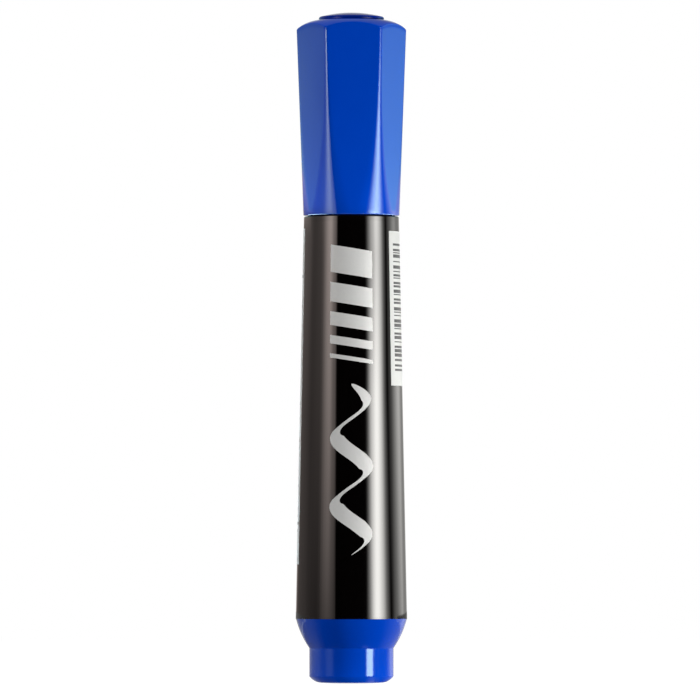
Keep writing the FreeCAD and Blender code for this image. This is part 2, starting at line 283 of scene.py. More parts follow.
# %% Points that hold the shading
def held(points):
    out = []
    for k, here in enumerate(points):
        following = points[(k + 1) % len(points)]
        run = following - here
        out.append(here)
        if run.length > SHORTEST_HELD:
            out.append(here + run.normalized() * HOLD)
            out.append(following - run.normalized() * HOLD)
    return out


# %% Faces between rows of points
def strips(rows, count, closed=True):
    """Joins each row of count points to the next. Closed rows are rings."""
    faces = []
    for row in range(rows - 1):
        for k in range(count if closed else count - 1):
            here, after = row * count + k, row * count + (k + 1) % count
            faces.append((here, after, after + count, here + count))
    return faces


# %% A mesh object from millimetres
def make_object(name, points, faces, material):
    mesh = bpy.data.meshes.new(name)
    mesh.from_pydata([Vector(p) * MM for p in points], [], faces)
    mesh.materials.append(material)
    return put_in_scene(name, mesh)


# %% Clean-up: doubles merged, faces outward, crisp edges kept
CRISP = math.radians(32)
WELD = 0.0005 * MM


def finish_mesh(piece, crisp=CRISP):
    work = bmesh.new()
    work.from_mesh(piece.data)
    bmesh.ops.remove_doubles(work, verts=work.verts, dist=WELD)
    bmesh.ops.delete(work, geom=[edge for edge in work.edges if edge.is_wire], context="EDGES")
    bmesh.ops.recalc_face_normals(work, faces=work.faces)
    open_edges = sum(not edge.is_manifold for edge in work.edges)
    work.to_mesh(piece.data)
    work.free()
    piece.data.shade_smooth()
    piece.data.set_sharp_from_angle(angle=crisp)
    print(f"{piece.name}: {len(piece.data.polygons)} faces, open edges {open_edges}")
    return piece


# %% The sweep round the axis
AROUND = 192


def turn(name, corners, material, seam=0.0):
    """Sweeps the outline round the axis. A seam, in degrees, leaves it open at the back."""
    outline = held(rounded(corners))
    count = len(outline)
    start = math.radians(seam / 2)
    points = []
    for k in range(AROUND + 1):
        angle = math.pi / 2 + start + (math.tau - 2 * start) / AROUND * k
        points += [(p.x * math.cos(angle), p.x * math.sin(angle), p.y) for p in outline]
    faces = strips(AROUND + 1, count)
    if seam:
        faces += [tuple(range(count)), tuple(reversed(range(AROUND * count, len(points))))]
    return finish_mesh(make_object(name, points, faces, material))


# %% [markdown]
# ## The rear plug
# The plug closes the barrel and gives the marker its foot. Its lower part is a round post, which the
# cap is pushed onto while writing. The rear face curves up to the post's wall and meets it in an edge.
# Above the post the plug swells to the barrel's width in a gently bulging shoulder. Inside it is
# hollow. The bulge is a shallow arc, drawn as a few points raised off its chord.

# %% The plug's sizes
POST_LENGTH = post["pos_m"][2] / MM + post["dims"]["length_mm"] / 2
FOOT_HEIGHT = POST_LENGTH - post["dims"]["length_mm"]  # where the post's straight wall begins
FOOT_FLAT_RADIUS = 5.45
FOOT_STEPS = 9
FOOT_ROUND = 0.25
NECK_BLEND = 0.3
SHOULDER_BULGE = 0.27
SHOULDER_STEPS = 10
SHOULDER_STEP = 0.05
PLUG_WALL = 1.2
PLUG_FLOOR = 1.5
SKIRT_LENGTH = 7.0
SKIRT_STEP = 1.27  # the barrel's wall and the fit in it
GATE_RADIUS = 2.4
GATE_DEPTH = 0.3


# %% The plug's two curves
def bulged(start, end, bulge):
    """Points between two corners on a shallow arc, which stands out to the right of its direction."""
    start, end = Vector(start), Vector(end)
    side = Vector((end.y - start.y, start.x - end.x)).normalized()
    shares = [k / SHOULDER_STEPS for k in range(1, SHOULDER_STEPS)]
    return [tuple(start.lerp(end, t) + side * bulge * 4 * t * (1 - t)) for t in shares]


def foot_curve():
    """The rear face's arc from the flat to the post's wall. It leaves the flat without an edge."""
    width = post_radius - FOOT_FLAT_RADIUS
    arc_radius = (width ** 2 + FOOT_HEIGHT ** 2) / (2 * FOOT_HEIGHT)
    sweep = math.atan2(width, arc_radius - FOOT_HEIGHT)
    turns = [sweep * k / FOOT_STEPS for k in range(FOOT_STEPS)]
    return [(FOOT_FLAT_RADIUS + arc_radius * math.sin(t), arc_radius * (1 - math.cos(t))) for t in turns]


# %% The plug
shoulder_radius = barrel_rear_radius - SHOULDER_STEP
skirt_radius = barrel_rear_radius - SKIRT_STEP
plug = turn("rear_plug_body", [
    (0, GATE_DEPTH),
    (GATE_RADIUS, GATE_DEPTH),
    (GATE_RADIUS, 0),
    *foot_curve(),
    (post_radius, FOOT_HEIGHT, FOOT_ROUND),
    (post_radius, POST_LENGTH, NECK_BLEND),
    *bulged((post_radius, POST_LENGTH), (shoulder_radius, barrel_rear), SHOULDER_BULGE),
    (shoulder_radius, barrel_rear),
    (skirt_radius, barrel_rear),
    (skirt_radius, barrel_rear + SKIRT_LENGTH),
    (skirt_radius - PLUG_WALL, barrel_rear + SKIRT_LENGTH),
    (skirt_radius - PLUG_WALL, barrel_rear),
    (post_radius - PLUG_WALL, POST_LENGTH),
    (post_radius - PLUG_WALL, PLUG_FLOOR),
    (0, PLUG_FLOOR),
], blue_polypropylene)
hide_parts("rear_plug")
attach(plug, "pen")

# %% [markdown]
# ## The barrel and its sleeve
# The barrel is a tapered tube. A shallow recess takes the printed sleeve, so that film and tube are
# flush, and only the tube's two ends show beyond the film. The sleeve meets itself in a seam at the
# back. Its edges are cut, not moulded, so they stay sharp.

# %% The barrel's sizes
FILM_THICKNESS = 0.12
FIT = 0.02
BARREL_WALL = 1.25
RIM_STEP = 0.1
FRONT_ROUND = 0.2
SPIGOT_RADIUS = 7.7
SPIGOT_LENGTH = 8.0
taper = (barrel_rear_radius - film_low_radius) / (film_low - barrel_rear)
barrel_front_radius = barrel_rear_radius - taper * (barrel_front - barrel_rear)


def barrel_radius(height):
    share = (height - barrel_rear) / (barrel_front - barrel_rear)
    return barrel_rear_radius + (barrel_front_radius - barrel_rear_radius) * share


# %% The tube
recess = FILM_THICKNESS + FIT
skirt_seat = barrel_rear_radius - BARREL_WALL
barrel = turn("barrel_tube", [
    (barrel_rear_radius, barrel_rear),
    (barrel_radius(film_low - FIT), film_low - FIT),
    (barrel_radius(film_low - FIT) - recess, film_low - FIT),
    (barrel_radius(film_high + FIT) - recess, film_high + FIT),
    (barrel_radius(film_high + FIT), film_high + FIT),
    (barrel_front_radius, barrel_front, FRONT_ROUND),
    (SPIGOT_RADIUS + FIT, barrel_front),
    (SPIGOT_RADIUS + FIT, barrel_front - SPIGOT_LENGTH),
    (skirt_seat, barrel_rear + SKIRT_LENGTH),
    (skirt_seat, barrel_rear),
], black_polypropylene)
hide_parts("barrel")
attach(barrel, "pen")
print(f"barrel radius {barrel_rear_radius:.2f} to {barrel_front_radius:.2f} mm")

# %% The sleeve
SEAM_DEGREES = 3.0
sleeve = turn("label_sleeve", [
    (barrel_radius(film_low) - FILM_THICKNESS, film_low),
    (barrel_radius(film_low), film_low),
    (barrel_radius(film_high), film_high),
    (barrel_radius(film_high) - FILM_THICKNESS, film_high),
], black_film, seam=SEAM_DEGREES)
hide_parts("label_film")
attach(sleeve, "pen")

# %% [markdown]
# ## Wrapping a print round the barrel
# A label is designed flat and then rolled up. The same goes here: every printed shape is made flat, x
# running round the pen from the middle of the front and y up it, and a Geometry Nodes tree rolls it
# onto the barrel's cone. The tree works out each point's angle from x and its radius from its height,
# so that a print of any shape follows the surface. Ink has a thickness too, about a hundredth of a
# millimetre, and the tree keeps it as the height above the film.

# %% Helpers for the trees
def new_tree(name, sockets):
    """A geometry tree with these inputs, given as (name, type), besides its geometry."""
    tree = bpy.data.node_groups.new(name, "GeometryNodeTree")
    tree.interface.new_socket(name="Geometry", in_out="INPUT", socket_type="NodeSocketGeometry")
    tree.interface.new_socket(name="Geometry", in_out="OUTPUT", socket_type="NodeSocketGeometry")
    for label, kind in sockets:
        tree.interface.new_socket(name=label, in_out="INPUT", socket_type="NodeSocket" + kind)
    return tree, add_node(tree, "NodeGroupInput").outputs


def end_tree(tree, geometry, material):
    """Ends in plain, painted geometry, and hands back the finished tree."""
    real = add_node(tree, "GeometryNodeRealizeInstances", {0: geometry})
    painted = add_node(tree, "GeometryNodeSetMaterial", {0: real, "Material": material})
    add_node(tree, "NodeGroupOutput", {0: painted})
    return tree


# %% Running a tree
def keep_result(piece):
    """What the modifiers make of a piece becomes its plain mesh."""
    mesh = bpy.data.meshes.new_from_object(piece.evaluated_get(bpy.context.evaluated_depsgraph_get()))
    piece.modifiers.clear()
    piece.data = mesh


def run_tree(piece, tree, values):
    """Runs a tree on a piece with these inputs, and keeps the result as a plain mesh."""
    modifier = piece.modifiers.new(tree.name, "NODES")
    modifier.node_group = tree
    for item in tree.interface.items_tree:
        if item.in_out == "INPUT" and item.name in values:
            modifier[item.identifier] = values[item.name]
    keep_result(piece)
    return piece


# %% The tree that wraps
tree, given = new_tree("wrap_round_the_barrel", [
    ("Rear Height", "Float"), ("Front Height", "Float"), ("Rear Radius", "Float"),
    ("Front Radius", "Float"), ("Layout Radius", "Float"), ("Lift", "Float"), ("Ink", "Material")])
flat = add_node(tree, "GeometryNodeInputPosition")
flat = add_node(tree, "ShaderNodeSeparateXYZ", {0: flat})
film = add_node(tree, "ShaderNodeMapRange", {
    "Value": flat.outputs["Y"],
    "From Min": given["Rear Height"], "From Max": given["Front Height"],
    "To Min": given["Rear Radius"], "To Max": given["Front Radius"]}, clamp=False)
lifted = add_node(tree, "ShaderNodeMath", {0: film, 1: given["Lift"]}, operation="ADD")
radius = add_node(tree, "ShaderNodeMath", {0: lifted, 1: flat.outputs["Z"]}, operation="ADD")
turned = add_node(tree, "ShaderNodeMath", {
    0: flat.outputs["X"], 1: given["Layout Radius"]}, operation="DIVIDE")
from_x = add_node(tree, "ShaderNodeMath", {0: turned, 1: math.pi / 2}, operation="SUBTRACT")
unrolled = add_node(tree, "ShaderNodeCombineXYZ", {"X": radius, "Z": flat.outputs["Y"]})
rolled = add_node(tree, "ShaderNodeVectorRotate", {
    "Vector": unrolled, "Angle": from_x}, rotation_type="Z_AXIS")
placed = add_node(tree, "GeometryNodeSetPosition", {"Geometry": given["Geometry"], "Position": rolled})
wrap_tree = end_tree(tree, placed, given["Ink"])

# %% Print a flat shape
LAYOUT_RADIUS = 9.8  # the label is laid out for the barrel's middle
INK_THICKNESS = 0.012
INK_LIFT = 0.002  # keeps its underside out of the film


def print_on_barrel(piece, ink, layer=0):
    """Rolls a flat piece onto the sleeve. A later layer lies on the ink of the one before it."""
    run_tree(piece, wrap_tree, {
        "Rear Height": barrel_rear * MM, "Front Height": barrel_front * MM,
        "Rear Radius": barrel_rear_radius * MM, "Front Radius": barrel_front_radius * MM,
        "Layout Radius": LAYOUT_RADIUS * MM, "Lift": (INK_LIFT + layer * INK_THICKNESS) * MM,
        "Ink": ink})
    finish_mesh(piece)
    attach(piece, "pen")


# %% A flat sheet of ink between two edges
def ink_sheet(name, left_edge, right_edge, ink, across):
    """A closed sheet of ink between two lists of (x, y) points, in rows of so many faces across."""
    points = []
    for start, end in zip(left_edge, right_edge):
        row = [Vector(start).lerp(Vector(end), k / across) for k in range(across + 1)]
        points += [(*spot, 0.0) for spot in row] + [(*spot, INK_THICKNESS) for spot in reversed(row)]
    ring = 2 * (across + 1)
    faces = strips(len(left_edge), ring)
    for first in (0, len(points) - ring):
        last = first + ring - 1
        faces += [(first + k, first + k + 1, last - k - 1, last - k) for k in range(across)]
    return make_object(name, points, faces, ink)


# %% [markdown]
# ## The front of the label
# A marker's label says what the pen does. This one shows it without words: at the top a chart of five
# strokes, from broad to fine, each with the slanted ends of a chisel nib, and below it one long stroke
# that swings from side to side. A chisel nib is broad one way and thin the other, so that stroke is
# made by a rule: its width follows the direction in which it is going.

# %% The chart of strokes
CHART_TOP = 83.6
CHART_HALF_WIDTH = 4.3
CHART_SLANT = 1.3
CHART_GAP = 1.9
CHART_WIDTHS = (5.2, 3.7, 2.6, 1.6, 0.8)
CHART_COLUMNS = 24
strokes = []
top = CHART_TOP
for k, stroke_width in enumerate(CHART_WIDTHS):
    low = top - stroke_width
    left = [(-CHART_HALF_WIDTH, low), (-CHART_HALF_WIDTH, top)]
    right = [(CHART_HALF_WIDTH, low - CHART_SLANT), (CHART_HALF_WIDTH, top - CHART_SLANT)]
    strokes.append(ink_sheet(f"chart_stroke_{k}", left, right, silver_ink, CHART_COLUMNS))
    top = low - CHART_GAP
print(f"the chart ends at {low - CHART_SLANT:.1f} mm")

# %% The swinging stroke
SWING_LOW = 24.5
SWING_HIGH = 57.0
SWING_REACH = 2.9
SWING_TURNS = 2.5
NIB_ANGLE = math.radians(38)
NIB_BROAD = 2.9
NIB_FINE = 0.55
NIB_POWER = 1.5  # how quickly the stroke thins as it turns
LEAST_HALF_WIDTH = 0.04
FADE_IN = 6  # the stroke tapers over one part in so many at each end
SWING_STEPS = 220
SWING_COLUMNS = 8


def swinging_stroke():
    """The edges of a stroke: its middle runs as a sine, and a nib held at a fixed angle draws it."""
    nib = Vector((math.cos(NIB_ANGLE), math.sin(NIB_ANGLE)))
    left, right = [], []
    for k in range(SWING_STEPS + 1):
        share = k / SWING_STEPS
        phase = math.tau * SWING_TURNS * share
        fade = min(1.0, FADE_IN * share, FADE_IN * (1 - share))
        middle = Vector((SWING_REACH * math.sin(phase), SWING_LOW + (SWING_HIGH - SWING_LOW) * share))
        slope = SWING_REACH * math.cos(phase) * math.tau * SWING_TURNS / (SWING_HIGH - SWING_LOW)
        along = Vector((slope, 1)).normalized()
        across = Vector((along.y, -along.x))
        width = NIB_FINE + (NIB_BROAD - NIB_FINE) * abs(across.dot(nib)) ** NIB_POWER
        half = max(width / 2 * math.sqrt(fade), LEAST_HALF_WIDTH)
        left.append(tuple(middle - across * half))
        right.append(tuple(middle + across * half))
    return ink_sheet("swinging_stroke", left, right, silver_ink, SWING_COLUMNS)


strokes.append(swinging_stroke())
for stroke in strokes:
    print_on_barrel(stroke, silver_ink)

# %% [markdown]
# ## The white panels
# Two white panels wrap round the sides of the barrel. The right one carries a bar code, the left one
# lines of small print. Neither is readable here: both are stacks of bars made by a tree, with a fixed
# seed. The bars of a bar code and the gaps between them are a few modules wide, here one to three.
# Adding up the widths so far gives each bar its place; the Accumulate Field node does that.

# %% The panels
RIGHT_PANEL = (8.75, 23.5, 56.8, 86.3)  # left, right, low, high
LEFT_PANEL = (-28.4, -12.85, 22.7, 86.9)
PANEL_COLUMNS = 60


def panel(name, edges):
    left, right, low, high = edges
    corners = [(left, low), (left, high)], [(right, low), (right, high)]
    print_on_barrel(ink_sheet(name, *corners, white_ink, PANEL_COLUMNS), white_ink)


panel("bar_code_panel", RIGHT_PANEL)
panel("small_print_panel", LEFT_PANEL)

# %% The tree that stacks bars: their widths, and the places these give
EVEN_GAP = 1.6  # modules
BAR_COLUMNS = 24
tree, given = new_tree("stack_of_bars", [
    ("Count", "Int"), ("Module", "Float"), ("Most Modules", "Int"), ("Even Gap", "Bool"),
    ("Shortest", "Float"), ("Longest", "Float"), ("Left", "Float"), ("Low", "Float"),
    ("Bar Seed", "Int"), ("Gap Seed", "Int"), ("Thickness", "Float"), ("Ink", "Material")])
bar_modules = add_node(tree, "FunctionNodeRandomValue", {
    4: 1, 5: given["Most Modules"], "Seed": given["Bar Seed"]}, data_type="INT")
gap_modules = add_node(tree, "FunctionNodeRandomValue", {
    4: 1, 5: given["Most Modules"], "Seed": given["Gap Seed"]}, data_type="INT")
gap = add_node(tree, "GeometryNodeSwitch", {
    "Switch": given["Even Gap"], "False": gap_modules.outputs[2], "True": EVEN_GAP}, input_type="FLOAT")
pitch = add_node(tree, "ShaderNodeMath", {0: bar_modules.outputs[2], 1: gap}, operation="ADD")
placing = add_node(tree, "GeometryNodeAccumulateField", {0: pitch})
width = add_node(tree, "ShaderNodeMath", {
    0: bar_modules.outputs[2], 1: given["Module"]}, operation="MULTIPLY")
start = add_node(tree, "ShaderNodeMath", {
    0: placing.outputs["Trailing"], 1: given["Module"], 2: given["Low"]}, operation="MULTIPLY_ADD")
middle = add_node(tree, "ShaderNodeMath", {0: width, 1: 0.5, 2: start}, operation="MULTIPLY_ADD")

# %% The rest of that tree: the bars' lengths, and bars set in their places
length = add_node(tree, "FunctionNodeRandomValue", {
    2: given["Shortest"], 3: given["Longest"], "Seed": given["Bar Seed"]}, data_type="FLOAT")
aside = add_node(tree, "ShaderNodeMath", {
    0: length.outputs[1], 1: 0.5, 2: given["Left"]}, operation="MULTIPLY_ADD")
spot = add_node(tree, "ShaderNodeCombineXYZ", {"X": aside, "Y": middle})
size = add_node(tree, "ShaderNodeCombineXYZ", {
    "X": length.outputs[1], "Y": width, "Z": given["Thickness"]})
bar = add_node(tree, "GeometryNodeMeshCube", {
    "Size": (1.0, 1.0, 1.0), "Vertices X": BAR_COLUMNS, "Vertices Y": 2, "Vertices Z": 2})
spots = add_node(tree, "GeometryNodePoints", {"Count": given["Count"]})
spread = add_node(tree, "GeometryNodeSetPosition", {"Geometry": spots, "Position": spot})
placed = add_node(tree, "GeometryNodeInstanceOnPoints", {
    "Points": spread, "Instance": bar.outputs["Mesh"], "Scale": size})
stack_tree = end_tree(tree, placed, given["Ink"])


# %% The bar code and the small print
def printed_bars(name, values):
    piece = make_object(name, [], [], dark_ink)
    run_tree(piece, stack_tree, {**values, "Thickness": INK_THICKNESS * MM, "Ink": dark_ink})
    print_on_barrel(piece, dark_ink, layer=1)
    print(name, "ends at", round(max(v.co.z for v in piece.data.vertices) / MM, 2), "mm")


printed_bars("bar_code", {
    "Count": 30, "Module": 0.21 * MM, "Most Modules": 3, "Even Gap": False, "Bar Seed": 4, "Gap Seed": 5,
    "Shortest": 11.0 * MM, "Longest": 11.0 * MM, "Left": 10.1 * MM, "Low": 59.6 * MM})
printed_bars("small_print", {
    "Count": 40, "Module": 0.55 * MM, "Most Modules": 1, "Even Gap": True, "Bar Seed": 11, "Gap Seed": 12,
    "Shortest": 7.5 * MM, "Longest": 14.0 * MM, "Left": -27.2 * MM, "Low": 26.0 * MM})

# %% [markdown]
# ## The nose and the nib
# The nose is one moulding: a neck with two beads that the cap snaps over, a cone, and a holder with a
# slot for the nib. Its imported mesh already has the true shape, so a copy of it is welded into one
# skin and shaded smooth, which keeps the slot and the air channels.

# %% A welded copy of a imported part
def welded_copy(node, name, material):
    piece = put_in_scene(name, frame["nodes"][node].data.copy())
    piece.data.materials.clear()
    piece.data.materials.append(material)
    return finish_mesh(piece)


nose = welded_copy("nose_section", "nose_moulding", nose_polypropylene)
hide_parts("nose_section")
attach(nose, "pen")

# %% [markdown]
# A felt nib has no crisp edge anywhere: it is ground, and soft with ink. The copy is remeshed into even
# small faces, which rounds its edges, and then each point moves in or out a little, by a noise that is
# drawn out along the fibres.

# %% The felt nib
NIB_VOXEL = 0.16
NIB_SMOOTHING = 3
FIBRE_WIDTH = 0.35
FIBRE_LENGTH = 4.0
FIBRE_DEPTH = 0.018


def felt(piece):
    remesh = piece.modifiers.new("even faces", "REMESH")
    remesh.mode = "VOXEL"
    remesh.voxel_size = NIB_VOXEL * MM
    smooth = piece.modifiers.new("soft edges", "SMOOTH")
    smooth.iterations = NIB_SMOOTHING
    keep_result(piece)
    mesh = piece.data
    for vertex, normal in zip(mesh.vertices, [v.normal.copy() for v in mesh.vertices]):
        across = vertex.co / (FIBRE_WIDTH * MM)
        along = vertex.co.z / (FIBRE_LENGTH * MM)
        push = noise.noise(Vector((across.x, across.y, along))) * FIBRE_DEPTH * MM
        vertex.co += normal * push
    mesh.shade_smooth()
    print(f"{piece.name}: {len(mesh.polygons)} faces")


nib = welded_copy("nib", "chisel_nib", pressed_felt)
felt(nib)
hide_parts("nib")
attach(nib, "pen")

# %% [markdown]
# ## The cap
# The cap is round at its mouth and hexagonal at its crown. At every height its section is a hexagon
# with rounded corners: near the mouth the rounding takes up the whole side, and further up it shrinks
# quickly to a small edge. The crown is a dome, and where the dome cuts the flats their upper edges
# come out as arches.
#
# The six sides are the same, so only one sixth is drawn: a strip of columns, from one corner over the
# flat to the next, each column a closed outline that runs up the outside, over the dome, down the
# hole, round the collar that holds the liner, and back down the inside. A tree then sets six of them
# round the axis and welds them.

# %% The sizes of the cap
CAP_SIDES = 6
CAP_TURN = 2.3  # degrees that it is turned from facing the front
CORNER_RADIUS = barrel_rear_radius - 0.08
EDGE_ROUND = 0.9
ROUND_SHARE = 0.97
FADE_POWER = 3
MOUTH_RADIUS = barrel_front_radius + RIM_STEP
MOUTH_WALL = 1.08
MOUTH_BORE_LENGTH = 7.0
MOUTH_LEAD_IN = 0.3
CAVITY_STEP = 0.45
CAVITY_DRAFT = 0.35
CROWN_FLAT = 5.8
CROWN_ROUND = 7.0
STEM_RADIUS = 3.02
COLLAR_WALL = 0.9
COLLAR_LENGTH = 6.0
RIM_ROUND = 0.22
ARCH_ROUND = 0.22

# %% One section of the cap
FLAT_STEPS = 9
CORNER_STEPS = 9


def section_point(column, height):
    """A point on half a side, from the middle of the flat to the corner. The flat faces +X here."""
    share = min((height - cap_mouth) / (cap_crown - cap_mouth), 1)
    corner = MOUTH_RADIUS + (CORNER_RADIUS - MOUTH_RADIUS) * share
    fade = ROUND_SHARE * (1 - share) ** FADE_POWER
    edge = EDGE_ROUND + (corner - EDGE_ROUND) * fade
    half_side = math.pi / CAP_SIDES
    centre = Vector((math.cos(half_side), math.sin(half_side))) * (corner - edge)
    if column <= FLAT_STEPS:
        return Vector((centre.x + edge, centre.y * column / FLAT_STEPS))
    turned = half_side * (column - FLAT_STEPS) / CORNER_STEPS
    return centre + Vector((math.cos(turned), math.sin(turned))) * edge


def dome_height(radius):
    out = max(radius - CROWN_FLAT, 0)
    return cap_crown - CROWN_ROUND + math.sqrt(CROWN_ROUND ** 2 - out ** 2)


# %% The outside of one column: the rim, the side, the arch and the dome
SIDE_ROWS = 40
DOME_ROWS = 14
ARCH_ROWS = 5
TOP_TRIES = 6  # rounds in which a column's top settles on the dome


def outside(column):
    """From the mouth's rim to the hole in the dome, as (point, height)."""
    top = cap_crown
    for _ in range(TOP_TRIES):
        top = dome_height(section_point(column, top).length)
    outline = []
    for aside, up in reversed(quarter()):
        height = cap_mouth + RIM_ROUND * (1 - up)
        point = section_point(column, height)
        outline.append((point * (1 - RIM_ROUND * (1 - aside) / point.length), height))
    side_top = top - ARCH_ROUND
    side_low = cap_mouth + RIM_ROUND
    for row in range(1, SIDE_ROWS + 1):
        height = side_low + (side_top - side_low) * row / SIDE_ROWS
        outline.append((section_point(column, height), height))
    edge = section_point(column, top)
    inner = edge * (1 - ARCH_ROUND / edge.length)
    below = Vector((*outline[-1][0], side_top))
    peak = Vector((*edge, top))
    after = Vector((*inner, dome_height(inner.length)))
    for step in range(1, ARCH_ROWS):
        blend = step / ARCH_ROWS
        spot = below.lerp(peak, blend).lerp(peak.lerp(after, blend), blend)
        outline.append((spot.xy, spot.z))
    for row in range(DOME_ROWS + 1):
        radius = inner.length + (STEM_RADIUS - inner.length) * row / DOME_ROWS
        outline.append((inner.normalized() * radius, dome_height(radius)))
    return outline


# %% The inside of a column, and all of it
def inside(column):
    """Down the hole, round the liner's collar, and down to the mouth."""
    heading = section_point(column, cap_mouth).normalized()
    bore = MOUTH_RADIUS - MOUTH_WALL
    bore_end = cap_mouth + MOUTH_BORE_LENGTH
    collar_radius = liner_radius + FIT
    collar_end = cap_roof - COLLAR_LENGTH
    return [(heading * radius, height) for radius, height in (
        (STEM_RADIUS, cap_roof),
        (collar_radius, cap_roof),
        (collar_radius, collar_end),
        (collar_radius + COLLAR_WALL, collar_end),
        (collar_radius + COLLAR_WALL, cap_roof),
        (bore - CAVITY_STEP - CAVITY_DRAFT, cap_roof),
        (bore - CAVITY_STEP, bore_end),
        (bore, bore_end),
        (bore, cap_mouth + MOUTH_LEAD_IN),
        (bore + MOUTH_LEAD_IN, cap_mouth),
    )]


def column_points(column):
    return [(*point, height) for point, height in outside(column) + inside(column)]


# %% One sixth of the cap
def cap_sixth():
    half = [column_points(column) for column in range(FLAT_STEPS + CORNER_STEPS + 1)]
    other = [[(x, -y, z) for x, y, z in column] for column in reversed(half[1:])]
    columns = other + half
    points = [point for column in columns for point in column]
    faces = strips(len(columns), len(columns[0]))
    return make_object("cap_body", points, faces, blue_polypropylene)


# %% The tree that sets the sixths round the axis
tree, given = new_tree("repeat_round_the_axis", [
    ("Sides", "Int"), ("First Side", "Float"), ("Weld", "Float"), ("Plastic", "Material")])
spots = add_node(tree, "GeometryNodePoints", {"Count": given["Sides"]})
which = add_node(tree, "GeometryNodeInputIndex")
step = add_node(tree, "ShaderNodeMath", {0: math.tau, 1: given["Sides"]}, operation="DIVIDE")
about = add_node(tree, "ShaderNodeMath", {
    0: which, 1: step, 2: given["First Side"]}, operation="MULTIPLY_ADD")
heading = add_node(tree, "ShaderNodeCombineXYZ", {"Z": about})
sides = add_node(tree, "GeometryNodeInstanceOnPoints", {
    "Points": spots, "Instance": given["Geometry"], "Rotation": heading})
joined = add_node(tree, "GeometryNodeRealizeInstances", {0: sides})
welded = add_node(tree, "GeometryNodeMergeByDistance", {"Geometry": joined, "Distance": given["Weld"]})
ring_tree = end_tree(tree, welded, given["Plastic"])

# %% Six sixths
cap = run_tree(cap_sixth(), ring_tree, {
    "Sides": CAP_SIDES, "First Side": math.radians(CAP_TURN - 90), "Weld": WELD,
    "Plastic": blue_polypropylene})
finish_mesh(cap)
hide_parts("cap_shell")
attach(cap, "cap")

# %% [markdown]
# ## What the cap holds
# A disc with a domed face closes the crown; its stem goes down through the roof. Below the roof hangs
# the liner, a tube that slides over the nib's holder and keeps the ink from drying.

# %% The end plug
HEAD_EDGE = 0.25
HEAD_ROUND = 0.4
DOME_FACE_STEPS = 12
dome_foot = head_radius - HEAD_ROUND
dome_rise = marker_top - cap_crown - HEAD_EDGE - HEAD_ROUND
dome_radius = (dome_foot ** 2 + dome_rise ** 2) / (2 * dome_rise)


def face_points():
    """The domed face from its rounded edge to the axis."""
    edge_centre = cap_crown + HEAD_EDGE
    points = [(dome_foot + HEAD_ROUND * out, edge_centre + HEAD_ROUND * up) for out, up in quarter()]
    for step in range(1, DOME_FACE_STEPS + 1):
        radius = dome_foot * (1 - step / DOME_FACE_STEPS)
        points.append((radius, marker_top - dome_radius + math.sqrt(dome_radius ** 2 - radius ** 2)))
    return points


end_plug = turn("cap_end_disc", [
    (0, cap_roof),
    (STEM_RADIUS - FIT, cap_roof),
    (STEM_RADIUS - FIT, cap_crown),
    (head_radius, cap_crown),
    *face_points(),
], shade_darkened_blue_polypropylene)
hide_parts("cap_end_plug")
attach(end_plug, "cap")

# %% The liner
LINER_WALL = 0.85
LINER_END = 0.9
LINER_LEAD_IN = 0.35
LINER_MOUTH_ROUND = 0.15
LINER_ROOF_ROUND = 0.4
liner_bore = liner_radius - LINER_WALL
liner = turn("cap_liner_tube", [
    (liner_bore + LINER_LEAD_IN, liner_mouth),
    (liner_radius, liner_mouth, LINER_MOUTH_ROUND),
    (liner_radius, cap_roof),
    (0, cap_roof),
    (0, cap_roof - LINER_END),
    (liner_bore, cap_roof - LINER_END, LINER_ROOF_ROUND),
    (liner_bore, liner_mouth + LINER_LEAD_IN),
], natural_polyethylene)
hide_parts("cap_liner")
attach(liner, "cap")

# %% [markdown]
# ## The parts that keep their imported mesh
# The reservoir and its film are shut in the barrel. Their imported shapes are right, so they only get
# their real finish.

# %% Reservoir and wrap
for node, material in (("reservoir_core", reservoir_fibre), ("reservoir_wrap", clear_film)):
    mesh = frame["nodes"][node].data
    mesh.materials.clear()
    mesh.materials.append(material)
    print(node, "gets", material.name)

# %% [markdown]
# ## The studio
# A glossy black pen is lit by what it mirrors. A tall soft box stands on its right, a fainter one on
# its left, and behind the camera it is dark, so the middle of the barrel stays black. A soft box is
# brightest in its middle and fades to its edges. Here each is a curved card which only reflections
# see, and its glow is an attribute that is worked out at every point of its grid. The cap mirrors the
# upper part of the boxes, the foot a low screen of its own, and the cap's rim two strips on the floor.
#
# The light that brings out the colours comes from plain lamps and the sky, which reflections don't
# see. Together they give about the level at which a colour shows as it is written. The sizes of the
# studio are in metres.

# %% The floor
FLOOR_RADIUS = 0.8
FLOOR_SIDES = 96
FLOOR_COLOUR = "909090"
FLOOR_GLOW = 0.96  # what the eye is given besides the light on the floor, up to white
floor_mesh = bpy.data.meshes.new("floor")
work = bmesh.new()
bmesh.ops.create_circle(work, cap_ends=True, radius=FLOOR_RADIUS, segments=FLOOR_SIDES)
work.to_mesh(floor_mesh)
work.free()
floor = put_in_scene("floor", floor_mesh)

# %% Its material: matt, and white to the eye and in whatever mirrors it
pale_floor, tree = empty_material("pale_matt_floor")
seen = add_node(tree, "ShaderNodeLightPath")
mirrored = add_node(tree, "ShaderNodeMath", {
    0: seen.outputs["Is Glossy Ray"], 1: seen.outputs["Is Transmission Ray"]}, operation="ADD")
shown = add_node(tree, "ShaderNodeMath", {
    0: seen.outputs["Is Camera Ray"], 1: mirrored}, operation="ADD", use_clamp=True)
glow = add_node(tree, "ShaderNodeMath", {0: shown, 1: FLOOR_GLOW}, operation="MULTIPLY")
matt = add_node(tree, "ShaderNodeBsdfDiffuse", {"Color": linear(FLOOR_COLOUR)})
white = add_node(tree, "ShaderNodeEmission", {"Strength": glow})
both = add_node(tree, "ShaderNodeAddShader", {0: matt, 1: white})
add_node(tree, "ShaderNodeOutputMaterial", {0: both})
floor_mesh.materials.append(pale_floor)

